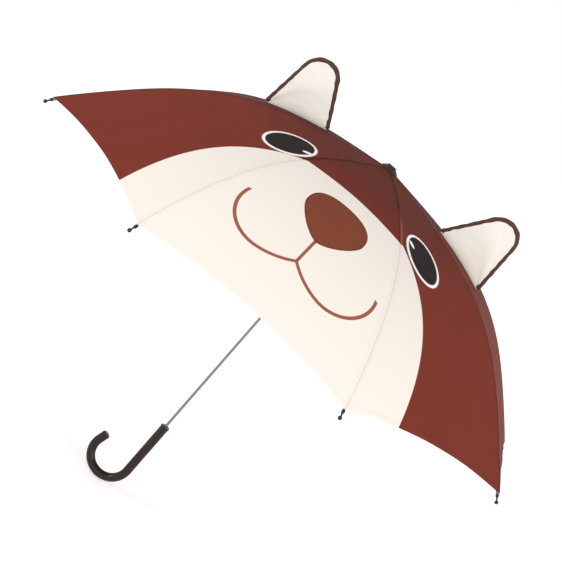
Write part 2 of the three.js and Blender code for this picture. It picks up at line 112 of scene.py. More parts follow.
class Finish:
    """A material with one Principled shader. sockets are numbers and colours that are the same all over."""

    def __init__(self, name, sockets):
        self.material = bpy.data.materials.new(name)
        self.material.use_nodes = True
        self.tree = self.material.node_tree
        self.shader = self.tree.nodes["Principled BSDF"]
        for label, value in sockets.items():
            self.shader.inputs[label].default_value = value

    def node(self, kind, settings=None, inputs=None, output=0):
        """Adds a node: its settings first, then the values or links of its input sockets."""
        made = self.tree.nodes.new(kind)
        for label, value in (settings or {}).items():
            setattr(made, label, value)
        for label, value in (inputs or {}).items():
            self.plug(made.inputs[label], value)
        return Wire(self, made.outputs[output])

    def plug(self, socket, value):
        if isinstance(value, Wire):
            self.tree.links.new(value.socket, socket)
        else:
            socket.default_value = value

    def feed(self, label, value):
        self.plug(self.shader.inputs[label], value)

    def attribute(self, name):
        return self.node("ShaderNodeAttribute", {"attribute_name": name}, output=2)

    def place(self, name=None):
        """The three parts of a place: of the named UV map, or of Object coordinates."""
        if name:
            spot = self.node("ShaderNodeUVMap", {"uv_map": name})
        else:
            spot = self.node("ShaderNodeTexCoord", output=3)
        parts = self.node("ShaderNodeSeparateXYZ", inputs={0: spot})
        return spot, [Wire(self, socket) for socket in parts.socket.node.outputs]

    def noise(self, spot, scale, detail=2.0):
        return self.node("ShaderNodeTexNoise", inputs={"Vector": spot, "Scale": scale, "Detail": detail})

    def blend(self, mask, under, over):
        """Colour: under where mask is 0, over where it is 1."""
        settings = {"data_type": "RGBA"}
        return self.node("ShaderNodeMix", settings, {0: mask, 6: under, 7: over}, output=2)

    def bump(self, height, distance, strength=1.0):
        inputs = {"Height": height, "Distance": distance, "Strength": strength}
        return self.node("ShaderNodeBump", inputs=inputs)


def colour(red, green, blue):
    """A colour given as on a dye card, 0 to 255, as the linear values that a shader takes."""
    card = np.array([red, green, blue]) / 255
    linear = np.where(card <= 0.04045, card / 12.92, ((card + 0.055) / 1.055) ** 2.4)
    return (*linear.tolist(), 1.0)


print("a mid brown in linear light:", [round(part, 3) for part in colour(128, 65, 56)])

# %% [markdown]
# ## Sizes of the canopy
# The frame's sizes are those of the solid model, in metres. The puffs and the sink belong to the cloth.
# The rib's line falls slowly near the crown and steeply near the corner, like a bent spring. The cloth
# is tauter at the sides, where it draws four of the ribs in a little between their joint and their tip.
# Every cloth piece is worked out from this one line, so panels, seams, ears and strap can't drift apart.

# %% Canopy sizes and the rib's line
GORES = 8
HALF_GORE = math.pi / GORES
CORNER_RADIUS = 0.400
CORNER_HEIGHT = 0.390
RISE = 0.1956
CROWN_HEIGHT = CORNER_HEIGHT + RISE
CROWN_SLOPE = 0.15
RIB_BEND = 3.5
GORE_PUFF = 0.0055
SIDE_PUFF = 0.0002
SINK_DEPTH = 0.0066
SINK_START = 0.130
SINK_POWER = 2.5
SUNK_RIBS = (2, 3, 6, 7)
HEM_SCALLOP = 0.0075
CROWN_HOLE = 0.006
BEND = RISE - CROWN_SLOPE * CORNER_RADIUS


def rib_height(r):
    """Height of the cloth over a rib: the crown's height less a straight fall and a late bend."""
    return CROWN_HEIGHT - CROWN_SLOPE * r - BEND * (r / CORNER_RADIUS) ** RIB_BEND


def rib_direction(r):
    """Unit vector down along the rib's line, as (outward, upward) parts."""
    fall = CROWN_SLOPE + BEND * RIB_BEND / CORNER_RADIUS * (r / CORNER_RADIUS) ** (RIB_BEND - 1)
    length = np.hypot(1, fall)
    return 1 / length, -fall / length


RADII = np.linspace(0, 1.05 * CORNER_RADIUS, 800)
LENGTHS = np.concatenate([[0], np.cumsum(np.hypot(np.diff(RADII), np.diff(rib_height(RADII))))])
print("rib's line from crown to corner:", round(float(np.interp(CORNER_RADIUS, RADII, LENGTHS)), 4), "m")


# %% Points of a gore
def sink(r):
    """How far the outer half of a side rib is drawn in by the taut cloth, square to the rib's line."""
    t = np.clip((r - SINK_START) / (CORNER_RADIUS - SINK_START), 0, 1)
    return SINK_DEPTH * np.sin(math.pi * t**SINK_POWER)


def gore_point(k, r, across, depth=0.0):
    """Point of gore k, turned so that its middle lies over +X: across is -1 on rib k - 1 and 1 on rib k.
    The panel stands out of the chord between its ribs by a puff that grows with the square of r, less
    the depth, and it is drawn in with its ribs."""
    outward, upward = rib_direction(r)
    before, after = (float((j - 1) % GORES + 1 in SUNK_RIBS) for j in (k - 1, k))
    puff = SIDE_PUFF if before and after else GORE_PUFF
    stand = puff * (r / CORNER_RADIUS) ** 2 * (1 - across**2) - depth
    part = (1 + across) / 2
    drawn = sink(r) * (before + (after - before) * part**2 * (3 - 2 * part))
    angle = across * HALF_GORE
    x = r * math.cos(HALF_GORE) - upward * stand + upward * drawn * np.cos(angle)
    y = across * r * math.sin(HALF_GORE) + upward * drawn * np.sin(angle)
    return np.stack(np.broadcast_arrays(x, y, rib_height(r) + outward * (stand - drawn)), -1)


def turned(points, azimuth):
    """Points over +X turned to an azimuth, which is 0 at -Y, the face's side, and grows towards +X."""
    s, c = math.sin(azimuth), math.cos(azimuth)
    x, y, z = np.moveaxis(points, -1, 0)
    return np.stack([x * s + y * c, y * s - x * c, z], -1)


def gore_azimuth(k):
    return -math.pi + (k - 1) * 2 * HALF_GORE


front_hem = turned(gore_point(5, CORNER_RADIUS - HEM_SCALLOP, 0.0), gore_azimuth(5))
print("middle of the front hem:", front_hem.round(4))

# %% [markdown]
# ## From grids of points to meshes
# Every new piece is a grid of points worked out in one go with numpy. A helper joins neighbouring
# points into four-sided faces. For cloth there are two grids, the outer and the inner side, joined by a
# narrow wall, because a closed body has a true thickness and shades correctly from both sides.


# %% Grid helpers
def quads(rows, columns, start=0, wrap=False):
    """Faces of a grid of rows x columns points, with the corners (i, j), (i+1, j), (i+1, j+1), (i, j+1)."""
    last = columns if wrap else columns - 1
    i, j = np.meshgrid(np.arange(rows - 1), np.arange(last), indexing="ij")
    k = (j + 1) % columns
    corners = [i * columns + j, (i + 1) * columns + j, (i + 1) * columns + k, i * columns + k]
    return start + np.stack([c.ravel() for c in corners], -1)


def make_piece(name, points, faces, finish, values=None, maps=None, sharp=55):
    """Mesh object from points and faces; values are numbers and maps are UV places, one for each point."""
    mesh = bpy.data.meshes.new(name)
    mesh.from_pydata(points.reshape(-1, 3).tolist(), [], [list(map(int, f)) for f in faces])
    for label, numbers in (values or {}).items():
        layer = mesh.attributes.new(label, "FLOAT", "POINT")
        layer.data.foreach_set("value", np.asarray(numbers, np.float32).ravel())
    corner_points = np.empty(len(mesh.loops), np.int32)
    mesh.loops.foreach_get("vertex_index", corner_points)
    for label, places in (maps or {}).items():
        layer = mesh.uv_layers.new(name=label)
        layer.uv.foreach_set("vector", np.asarray(places, np.float32).reshape(-1, 2)[corner_points].ravel())
    mesh.shade_smooth()
    mesh.set_sharp_from_angle(angle=math.radians(sharp))
    mesh.materials.append(finish.material)
    piece = bpy.data.objects.new(name, mesh)
    bpy.context.scene.collection.objects.link(piece)
    return piece


def shell_faces(rows, columns):
    """Faces of a closed cloth body: outer grid, inner grid turned over, and the wall around both."""
    size = rows * columns
    outer = quads(rows, columns)
    inner = quads(rows, columns, size)[:, ::-1]
    grid = np.arange(size).reshape(rows, columns)
    edge = np.concatenate([grid[:-1, 0], grid[-1, :-1], grid[:0:-1, -1], grid[0, :0:-1]])
    after = np.roll(edge, -1)
    wall = np.stack([edge, edge + size, after + size, after], -1)
    return np.concatenate([outer, inner, wall])


def twice(grid):
    """The same values for the outer and for the inner side of a cloth body."""
    return np.concatenate([grid, grid])


print("a grid of 3 x 4 points has", len(quads(3, 4)), "faces and its shell", len(shell_faces(3, 4)))

# %% [markdown]
# ## The printed cloth
# The face is screen printed on the panels while they lie flat. So the print doesn't follow the room, it
# follows the cloth: each point carries a place on the unrolled cap, how far it is from the crown along
# the cloth and in which direction. In this flat map the muzzle, nose, mouth and eyes are simple curves,
# and their edges stay crisp at any distance because no picture is stretched over the cloth.

# %% Dyes, painted shade and painted highlight
BROWN = colour(124, 53, 41)
CREAM = colour(243, 234, 224)
EAR_CREAM = colour(246, 241, 231)
NOSE_BROWN = colour(130, 68, 50)
LINE_BROWN = colour(158, 90, 70)
# Dark brown of print edges and blotches, also painted shade at the muzzle's seams; then the painted shade
# and painted highlight browns.
DARK_PRINT_AND_SHADE_BROWN = colour(92, 42, 33)
PAINTED_SHADE_BROWN = colour(70, 30, 25)
PAINTED_HIGHLIGHT_BROWN = colour(156, 84, 66)
EYE_BLACK = colour(44, 36, 36)
WHITE = colour(250, 247, 244)

# %% [markdown]
# The weave is a plain one, two sets of threads that cross. At arm's length it only shows as a dull
# surface, so it is a very low bump. Along each seam two rows of stitches pull the cloth into small
# puckers, and a turned hem runs round the edge.


# %% Cloth finish
MM = 0.001
THREAD = 0.5 * MM
STITCH = 2.6 * MM
SEAM_ROWS, ROW_SPREAD = 3.6, 1.2
HEM_ROW = 5.5
SEAM_PUCKER, HEM_PUCKER = 15 * MM, 18 * MM


def weave_height(cloth, across, down):
    """Threads 0.5 mm apart in both directions, as the product of two waves."""
    pitch = 2 * math.pi / THREAD
    return (across * pitch).sine() * (down * pitch).sine()


def seam_height(cloth, across, down):
    """Two rows of stitches beside each seam, the puckers they pull, and the step and stitches of the hem."""
    seam = cloth.attribute("seam") / MM
    hem = cloth.attribute("hem") / MM
    stitch = (down * (2 * math.pi / STITCH)).sine().ramp(-0.5, 0.1)
    rows = abs(abs(seam - SEAM_ROWS) - ROW_SPREAD).ramp(0.55, 0.15) * stitch
    hem_stitch = (across * (2 * math.pi / STITCH)).sine().ramp(-0.5, 0.1)
    hem_row = abs(hem - HEM_ROW).ramp(0.6, 0.2) * hem_stitch
    wander = cloth.noise(cloth.place("panel")[0], 60.0, 1.0) * 9
    pucker = (down * (2 * math.pi / SEAM_PUCKER) + wander).sine() * seam.ramp(20, 1)
    hem_pucker = (across * (2 * math.pi / HEM_PUCKER) + wander).sine() * hem.ramp(16, 2)
    ridge = seam.ramp(6.2, 4.2) * 0.8
    hem_step = hem.ramp(7.6, 6.2) * 0.6
    return pucker * 0.35 + hem_pucker * 0.4 + ridge + hem_step - rows * 0.7 - hem_row * 0.7


def cloth_finish(name, cloth_colour):
    cloth = Finish(name, {
        "Roughness": 0.7,
        "Specular IOR Level": 0.06,
    })
    spot, (across, down, _) = cloth.place("panel")
    blotch = cloth.noise(spot, 9.0, 3.0).ramp(0.3, 0.75)
    cloth.feed("Base Color", cloth_colour(cloth, blotch))
    cloth.feed("Roughness", 0.62 + cloth.noise(spot, 35.0, 3.0) * 0.14)
    surface = seam_height(cloth, across, down) + weave_height(cloth, across, down) * 0.05
    cloth.feed("Normal", cloth.bump(surface, 0.35 * MM, 0.8))
    return cloth


def plain_brown(cloth, blotch):
    """Brown, a little blotched, with painted shade deeper towards the crown and darkest in the seams, and a
    painted highlight where the attribute beside the ears is above 0 and painted shade where it is below."""
    _, (_, down, _) = cloth.place("panel")
    surface_colour = cloth.blend(blotch * 0.12, BROWN, DARK_PRINT_AND_SHADE_BROWN)
    # Painted shade: the brown darkens towards the crown.
    surface_colour = cloth.blend((down / MM).ramp(270, 80) * 0.5, surface_colour, PAINTED_SHADE_BROWN)
    # Painted highlight beside the right ear's front rib and painted shade on the left ear's panel.
    painted_light_shade = cloth.attribute("painted_light_shade")
    surface_colour = cloth.blend(painted_light_shade.larger(0.0), surface_colour, PAINTED_HIGHLIGHT_BROWN)
    surface_colour = cloth.blend((painted_light_shade * -1).larger(0.0), surface_colour, PAINTED_SHADE_BROWN)
    # Painted shade along the seams.
    seam = cloth.attribute("seam") / MM
    return cloth.blend(seam.ramp(3.0, 0.8) * 0.9, surface_colour, PAINTED_SHADE_BROWN)


brown_cloth = cloth_finish("brown_cloth", plain_brown)
print("brown cloth:", len(brown_cloth.tree.nodes), "shader nodes")

# %% [markdown]
# ## The face
# All sizes are in millimetres on the unrolled cap: x to the side from the middle of the face, y down
# from the crown. The muzzle is cream, with an almost straight upper edge on the front panel and an edge
# that curves down on its neighbours. The nose is an egg whose power changes from a blunt top to a
# pointed foot. The mouth is two arcs to each side, the inner one flatter. An eye is an ellipse in an
# ellipse with a small glint.

# %% Face shapes
FACE_SHIFT = 3.6
MUZZLE_TOP = 194.5
MUZZLE_CORNER = (79.0, 188.5)
MUZZLE_SLOPE, MUZZLE_CURL = 0.66, 62.0
NOSE = {"middle": (0.6, 268.0), "width": 48.0, "up": 39.5, "down": 53.0}
NOSE_POWERS = {"up": 2.75, "down": 1.5}
NOSE_RIM, NOSE_ARC = 0.965, 0.86
MOUTH_ARC = {"x": 53.5, "y": 325.0, "radius": 54.8}
MOUTH_INNER_RADIUS = 89.0
MOUTH_END = 306.0
LIP_MIDDLE, LIP_HALF = 340.0, 22.0
LINE_WIDTH = 4.4
EYES = {-1: (116.5, 172.5, 42.0), 1: (116.5, 170.0, 50.0)}
EYE_LONG, EYE_SHORT, EYE_RING = 43.5, 32.5, 4.6
GLINT_IN, GLINT_UP = 27.5, 3.0
GLINT_LONG, GLINT_SHORT = 6.5, 3.6
# Where the painted highlight of a fold lies: beside a seam, and how far down.
FOLD_HIGHLIGHT_SIDE, FOLD_HIGHLIGHT_FADE, FOLD_HIGHLIGHT_DOWN = 3.0, 1.6, (110, 185)
CRISP = 0.45


def inside(distance):
    """1 where a distance in millimetres is negative, 0 where positive, with a crisp but not jagged edge."""
    return distance.ramp(CRISP, -CRISP)


def muzzle_distance(side, y):
    """Height of the edge above y: a shallow parabola in front, then a slope plus a fourth power."""
    corner_x, corner_y = MUZZLE_CORNER
    past = (side - corner_x).larger(0.0)
    top = MUZZLE_TOP - (side.smaller(corner_x) / corner_x) ** 2.0 * (MUZZLE_TOP - corner_y)
    return top + past * MUZZLE_SLOPE + (past / MUZZLE_CURL) ** 4.0 - y


def egg_distance(x, y, scale=1.0):
    """Egg |x/a|^n + |y/b|^n = 1, with the power and the height of the upper or of the lower half."""
    halves = []
    for half, part in (("up", (y * -1).larger(0.0)), ("down", y.larger(0.0))):
        power = NOSE_POWERS[half]
        halves.append((x / (NOSE["width"] * scale)) ** power + (part / (NOSE[half] * scale)) ** power)
    return (halves[0].larger(halves[1]) - 1) * 20.0


def ring_distance(x, y, cx, cy, radius):
    """Distance from a circle's line."""
    return abs(((x - cx) ** 2.0 + (y - cy) ** 2.0) ** 0.5 - radius)


def mouth_distance(side, y):
    """Line of the mouth: a round arc outside its lowest point and a flatter one that ends at the middle."""
    low_x, low_y, radius = MOUTH_ARC["x"], MOUTH_ARC["y"], MOUTH_ARC["radius"]
    outer = ring_distance(side, y, low_x, low_y, radius)
    flat_y = low_y + radius - MOUTH_INNER_RADIUS
    inner = ring_distance(side, y, low_x, flat_y, MOUTH_INNER_RADIUS)
    beyond = side.ramp(low_x - 0.01, low_x + 0.01)
    arcs = inner * (1 - beyond) + outer * beyond
    return arcs.larger((MOUTH_END - y) + LINE_WIDTH / 2) - LINE_WIDTH / 2


def face_colour(cloth, blotch):
    """The print from the ground up: brown, a fold's painted highlight, muzzle, mouth, nose, then eyes."""
    _, (u, v, _) = cloth.place("cut")
    x = u / MM - FACE_SHIFT
    y = v / MM
    side = abs(x)
    muzzle = muzzle_distance(side, y)
    paint = plain_brown(cloth, blotch)
    _, (across, down, _) = cloth.place("panel")
    # Painted highlight: a pale stripe beside one seam, where a fold catches the light.
    fold = (cloth.attribute("seam") / MM - FOLD_HIGHLIGHT_SIDE).ramp(FOLD_HIGHLIGHT_FADE, 0.0)
    fold = fold * (across / MM).ramp(1, -1) * x.ramp(-1, 1)
    paint = cloth.blend(fold * (down / MM).ramp(*FOLD_HIGHLIGHT_DOWN) * 0.85, paint, PAINTED_HIGHLIGHT_BROWN)
    paint = cloth.blend(inside(abs(muzzle - 0.4) - 0.9) * 0.5, paint, DARK_PRINT_AND_SHADE_BROWN)
    # Painted shade on the cream muzzle along its seams.
    seam = cloth.attribute("seam") / MM
    shade = cloth.blend(seam.ramp(1.2, 0.3) * 0.22, CREAM, DARK_PRINT_AND_SHADE_BROWN)
    paint = cloth.blend(inside(muzzle), paint, shade)
    lip = inside(side - LINE_WIDTH / 2) * inside(abs(y - LIP_MIDDLE) - LIP_HALF)
    mouth = inside(mouth_distance(side, y))
    paint = cloth.blend(lip.larger(mouth), paint, LINE_BROWN)
    nose_x = abs(x - NOSE["middle"][0])
    nose_y = y - NOSE["middle"][1]
    nose = cloth.blend(inside(0.0 - egg_distance(nose_x, nose_y, NOSE_RIM)), NOSE_BROWN, DARK_PRINT_AND_SHADE_BROWN)
    arc = inside(abs(egg_distance(nose_x, nose_y, NOSE_ARC)) - 0.7) * nose_y.ramp(12.0, -12.0)
    nose = cloth.blend(arc * 0.35, nose, DARK_PRINT_AND_SHADE_BROWN)
    paint = cloth.blend(inside(egg_distance(nose_x, nose_y)), paint, nose)
    for sign, (eye_x, eye_y, tilt) in EYES.items():
        lean = math.radians(tilt)
        along = (x * sign - eye_x) * math.sin(lean) + (y - eye_y) * math.cos(lean)
        over = (x * sign - eye_x) * math.cos(lean) - (y - eye_y) * math.sin(lean)
        for shrink, surface_colour in ((0.0, WHITE), (EYE_RING, EYE_BLACK)):
            reach = ((along / (EYE_LONG - shrink)) ** 2.0 + (over / (EYE_SHORT - shrink)) ** 2.0) ** 0.5
            paint = cloth.blend(inside((reach - 1) * EYE_SHORT), paint, surface_colour)
        glint_x = x * sign - (eye_x - GLINT_IN)
        glint_y = y - (eye_y - GLINT_UP)
        glint = ((glint_x / GLINT_LONG) ** 2.0 + ((glint_y - glint_x * 0.5) / GLINT_SHORT) ** 2.0) ** 0.5
        paint = cloth.blend(inside((glint - 1) * 4.0), paint, WHITE)
    return paint


face_cloth = cloth_finish("printed_cloth", face_colour)
print("printed cloth:", len(face_cloth.tree.nodes), "shader nodes")

# %% [markdown]
# ## The eight gores
# Each gore is one panel. It could be a cloth simulation, but a tensioned cap barely moves: it stands
# smooth between its ribs, with low waves across the panel and a hem that is cut back in a shallow arc.
# The formula gives that at once and meets its neighbours exactly on the ribs. The panels that carry the
# ears are drawn in with both their ribs, and their neighbours only along the rib they share. The hem is
# turned in, so the cloth is more than twice as thick there.

# %% Gore surfaces
CLOTH_THICKNESS = 0.35 * MM
HEM_EXTRA = 0.55 * MM
HEM_WIDTH = 6.5 * MM
GORE_ROWS, GORE_COLUMNS = 110, 45
HEM_STEP = 1.2 * MM
SEAM_ROLL, ROLL_WIDTH = 0.5 * MM, 3 * MM
SLOW_WAVE, PULL_WAVE = 1.0, 0.35
PRINTED = (4, 5, 6)
# Strengths and streaks of the painted highlight and the painted shade beside the ears.
HIGHLIGHT_AMOUNT, HIGHLIGHT_STREAKS = 0.6, ((1.0, 6, 3.5), (0.7, 17, 4))
SHADE_AMOUNT = 0.8


def waves(across, r, k):
    """Low folds of the taut cloth: sums of sines that die out at the ribs and at the crown."""
    t = r / CORNER_RADIUS
    quiet = (1 - across**2) * t**2
    slow = np.sin(4.1 * t + 2.3 * across + 1.7 * k) * np.sin(2.6 * across * t + 0.9 * k)
    pull = np.sin(11 * across + 3 * t + k) * t**4
    return (SLOW_WAVE * slow + PULL_WAVE * pull) * quiet * MM


def zone(r, start, rise, end, fall):
    """1 between two distances from the shaft, with a straight fade at both ends, and 0 elsewhere."""
    return np.clip((r - start) / rise, 0, 1) * np.clip((end - r) / fall, 0, 1)


def painted_light_by_ears(k, r, across, seam):
    """Painted light and shade on the two panels that carry ears: two streaks of painted highlight beside
    the front rib on the right one, and on the left one painted shade, strongest at its front rib."""
    if k == 7:
        band = zone(r, 0.085, 0.03, 0.215, 0.04) * (across < 0)
        streaks = sum(part * np.exp(-((seam / MM - far) / wide) ** 2) for part, far, wide in HIGHLIGHT_STREAKS)
        return HIGHLIGHT_AMOUNT * band * np.clip(streaks, 0, 1)
    if k == 3:
        band = zone(r, 0.05, 0.05, 0.33, 0.10)
        return -SHADE_AMOUNT * band * (0.5 + 0.5 * np.clip(across, 0, 1))
    return np.zeros(r.shape)


def make_gore(k, finish):
    across = np.linspace(-1, 1, GORE_COLUMNS)[None, :]
    down = np.linspace(0, 1, GORE_ROWS)[:, None] ** 0.9
    edge = CORNER_RADIUS - HEM_SCALLOP * (1 - across**2)
    r = CROWN_HOLE + (edge - CROWN_HOLE) * down
    across = np.broadcast_to(across, r.shape)
    length = np.interp(r, RADII, LENGTHS)
    hem = np.interp(edge, RADII, LENGTHS) - length
    seam = (1 - abs(across)) * r * math.sin(HALF_GORE)
    roll = SEAM_ROLL * np.clip(1 - seam / ROLL_WIDTH, 0, 1) ** 2
    lift = waves(across, r, k) - roll
    fold = np.clip((HEM_WIDTH - hem) / HEM_STEP, 0, 1)
    thick = CLOTH_THICKNESS + HEM_EXTRA * fold
    azimuth = gore_azimuth(k)
    outer = turned(gore_point(k, r, across, -lift), azimuth)
    inner = turned(gore_point(k, r, across, thick - lift), azimuth)
    direction = np.arctan2(outer[..., 0], -outer[..., 1])
    cut = np.stack([length * np.sin(direction), length * np.cos(direction)], -1)
    panel = np.stack([across * r * math.sin(HALF_GORE), length], -1)
    piece = make_piece(
        f"gore_cloth_{k}",
        np.concatenate([outer, inner]),
        shell_faces(*r.shape),
        finish,
        {"seam": twice(seam), "hem": twice(hem), "painted_light_shade": twice(painted_light_by_ears(k, r, across, seam))},
        {"panel": twice(panel), "cut": twice(cut)},
    )
    sides = np.linalg.norm(np.diff(outer, axis=0), axis=-1)[:, :-1]
    widths = np.linalg.norm(np.diff(outer, axis=1), axis=-1)[:-1]
    return piece, (float(np.ptp(panel[..., 0])), float(length.max())), float((sides * widths).sum())


for k in range(1, GORES + 1):
    gore, flat, area = make_gore(k, face_cloth if k in PRINTED else brown_cloth)
    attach(gore, f"gore_{k}")
    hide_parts(f"canopy_gore_{k}")
    "cream_fabric" if k == 5 else "brown_fabric"
    f"rib_{(k - 2) % GORES + 1}"
    azimuth = gore_azimuth(k)
    plank = turned(gore_point(k, 0.5 * CORNER_RADIUS, 0.0), azimuth)
    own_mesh(gore)
print("gores:", GORES, "panels of", [round(c, 3) for c in flat], "m")
print("area of one:", round(area, 4), "square metres")

# %% [markdown]
# ## The ears
# An ear is two layers of cloth sewn round a thin wadding, cream in front and brown behind, with dark
# piping in the edge. It stands on the middle line of a side panel. Its outline is a straight inner
# side, a round top and a straight outer side. Both ears are moved a few millimetres towards +X along
# that line, the tops more than the feet. The inside of the outline is filled by lines from the foot to
# the outline, and the two layers bulge apart like a flat cushion, with a few soft creases.

# %% Ear outline
EAR_CENTRE = (0.1565, 0.6128)
EAR_ROUND = 0.0240
EAR_INNER_FOOT = 0.100
EAR_OUTER_FOOT = 0.1855
EAR_TANGENT = math.radians(148.5)
PIPING = 3.6 * MM
PIPING_DEPTH = 0.72
PIPING_TAPER = 3 * MM
GATHERS = (61, 97)
EAR_ROWS, EAR_COLUMNS = 61, 33
PIPING_RINGS, PIPING_SIDES = 120, 16
EAR_EDGE, EAR_BULGE, EAR_CREASE = 0.5 * MM, 2.6 * MM, 0.7 * MM
EAR_SUNK = 0.15 * MM


def cloth_height(x):
    """Height of the cloth on a gore's middle line at a distance x from the shaft."""
    middle = gore_point(3, RADII, 0.0)
    return np.interp(x, middle[:, 0], middle[:, 2])


def ear_outline(t):
    """Outline from the inner foot (t = 0) over the round top to the outer foot (t = 1), as x and z."""
    cx, cz = EAR_CENTRE
    start = np.array([EAR_INNER_FOOT, cloth_height(EAR_INNER_FOOT)])
    end = np.array([EAR_OUTER_FOOT, cloth_height(EAR_OUTER_FOOT)])
    turn = np.linspace(EAR_TANGENT, 0, 200)
    top = np.stack([cx + EAR_ROUND * np.cos(turn), cz + EAR_ROUND * np.sin(turn)], -1)
    line = np.concatenate([start[None], top, end[None]])
    run = np.concatenate([[0], np.cumsum(np.linalg.norm(np.diff(line, axis=0), axis=1))])
    return np.stack([np.interp(t * run[-1], run, line[:, i]) for i in (0, 1)], -1), run[-1]


print("ear outline:", round(float(ear_outline(np.array([0.0]))[1]), 4), "m round")

# %% Ear finishes
ear_cloth = Finish("ear_cloth", {
    "Roughness": 0.75, "Specular IOR Level": 0.08})
spot, (ear_across, ear_up, _) = ear_cloth.place("panel")
back = ear_cloth.attribute("back")
cloudy = ear_cloth.noise(spot, 14.0, 3.0).ramp(0.35, 0.8) * 0.25
ear_dye = ear_cloth.blend(cloudy, EAR_CREAM, CREAM)
ear_cloth.feed("Base Color", ear_cloth.blend(back.ramp(0.45, 0.55), ear_dye, BROWN))
crease = ear_cloth.noise(spot, 45.0, 3.0) * 2.2 + ear_cloth.noise(spot, 22.0, 2.0) * 3.6
weave = weave_height(ear_cloth, ear_across, ear_up) * 0.05
ear_cloth.feed("Normal", ear_cloth.bump(crease + weave, 0.9 * MM, 0.8))

piping_cloth = Finish("piping_cloth", {
    "Base Color": colour(80, 40, 34), "Roughness": 0.65, "Sheen Weight": 0.05, "Sheen Roughness": 0.4})
spot, (round_way, length_way, _) = piping_cloth.place("panel")
twill = ((length_way + round_way * 0.4) * (2 * math.pi / (1.4 * MM))).sine()
piping_cloth.feed("Normal", piping_cloth.bump(twill, 0.12 * MM, 0.7))
print("ear finishes:", ear_cloth.material.name, piping_cloth.material.name)


# %% Ear surfaces
EAR_SHIFT, EAR_SWAY = 3.2 * MM, 4.2 * MM


def place_ear(x, depth, z, azimuth):
    """Ear coordinates (outward, towards the back, up) in the room. Both ears are moved towards +X, the
    tops more than the feet, and each foot follows the height of the cloth where it then stands."""
    sign = math.copysign(1, azimuth)
    near = np.clip(x, EAR_INNER_FOOT, EAR_OUTER_FOOT)
    foot = cloth_height(near)
    tall = np.clip((z - foot) / (EAR_CENTRE[1] - foot), 0, None)
    lean = (EAR_SHIFT + EAR_SWAY * tall) * sign
    z = z + cloth_height(near + EAR_SHIFT * sign) - foot
    points = np.stack(np.broadcast_arrays(x + lean, depth * sign, z), -1)
    return turned(points, azimuth)


def make_ear(side, azimuth):
    t = np.linspace(0, 1, EAR_ROWS)[:, None]
    w = np.linspace(0, 1, EAR_COLUMNS)[None, :]
    rim, _ = ear_outline(t[:, 0])
    foot_x = EAR_INNER_FOOT + (EAR_OUTER_FOOT - EAR_INNER_FOOT) * (0.5 - 0.5 * np.cos(math.pi * t))
    foot_z = cloth_height(foot_x) - EAR_SUNK
    x = foot_x + (rim[:, :1] - foot_x) * w
    z = foot_z + (rim[:, 1:] - foot_z) * w
    body = np.sqrt(np.clip(4 * w * (1 - w), 0, None)) * np.sqrt(np.clip(np.sin(math.pi * t), 0, None))
    folds = np.sin(9 * t + 5 * w) * np.sin(7 * w - 4 * t) + 0.6 * np.sin(21 * t * w + 2)
    bulge = EAR_EDGE + (EAR_BULGE + EAR_CREASE * folds) * body
    front = place_ear(x, -bulge, z, azimuth)
    rear = place_ear(x, bulge, z, azimuth)
    layers = np.concatenate([front, rear])
    back = np.concatenate([np.zeros(x.shape), np.ones(x.shape)])
    panel = np.stack([twice(x), twice(z)], -1)
    faces = shell_faces(*x.shape)
    faces = faces if azimuth > 0 else faces[:, ::-1]
    piece = make_piece(f"ear_{side}", layers, faces, ear_cloth, {"back": back}, {"panel": panel})
    area = float((np.linalg.norm(np.diff(front, axis=0), axis=-1)[:, :-1]
                  * np.linalg.norm(np.diff(front, axis=1), axis=-1)[:-1]).sum())
    return piece, area


def make_piping(side, azimuth):
    """Tube round the ear's outline: a gathered circle carried along it, thin at both ends, where it is
    sewn into the seam of the panel."""
    rim, length = ear_outline(np.linspace(0, 1, PIPING_RINGS))
    along = np.gradient(rim, axis=0)
    along /= np.linalg.norm(along, axis=1, keepdims=True)
    turn = np.linspace(0, 2 * math.pi, PIPING_SIDES, endpoint=False)
    t = np.linspace(0, 1, PIPING_RINGS)[:, None]
    gathers = 0.5 * np.sin(GATHERS[0] * t) + 0.5 * np.sin(GATHERS[1] * t + 2 * turn)
    taper = np.clip(np.minimum(t, 1 - t) * length / PIPING_TAPER, 0.08, 1)
    radius = PIPING * (0.94 + 0.10 * gathers) * taper
    x = rim[:, :1] + radius * np.cos(turn) * -along[:, 1:]
    z = rim[:, 1:] + radius * np.cos(turn) * along[:, :1]
    depth = PIPING_DEPTH * radius * np.sin(turn)
    points = place_ear(x, depth, z, azimuth)
    faces = quads(*x.shape, wrap=True).tolist()
    size = x.shape[1]
    caps = [list(range(size))[::-1], list(range(x.size - size, x.size))]
    faces = faces + caps
    faces = [f[::-1] for f in faces] if azimuth > 0 else faces
    run = np.linspace(0, length, PIPING_RINGS)[:, None]
    places = np.stack(np.broadcast_arrays(PIPING * turn[None, :], run), -1)
    return make_piece(f"ear_edge_{side}", points, faces, piping_cloth, maps={"panel": places})


for side, azimuth, k in (("left", -math.pi / 2, 3), ("right", math.pi / 2, 7)):
    ear, area = make_ear(side, azimuth)
    edge = make_piping(side, azimuth)
    for piece, node, slot in ((ear, "ear_panel", "cream_fabric"), (edge, "ear_piping", "piping")):
        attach(piece, f"gore_{k}")
        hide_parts(f"{node}_{side}")
print("ears:", round(area * 1e4, 1), "square centimetres each")

# %% [markdown]
# ## Turned pieces
# The shaft, the ferrule at the crown, the tips on the ribs and the collar of the grip are all turned:
# a profile of radius and height carried round a line. One function makes them all. Small roundings in
# the profile catch the light, which is what makes moulded plastic look moulded.


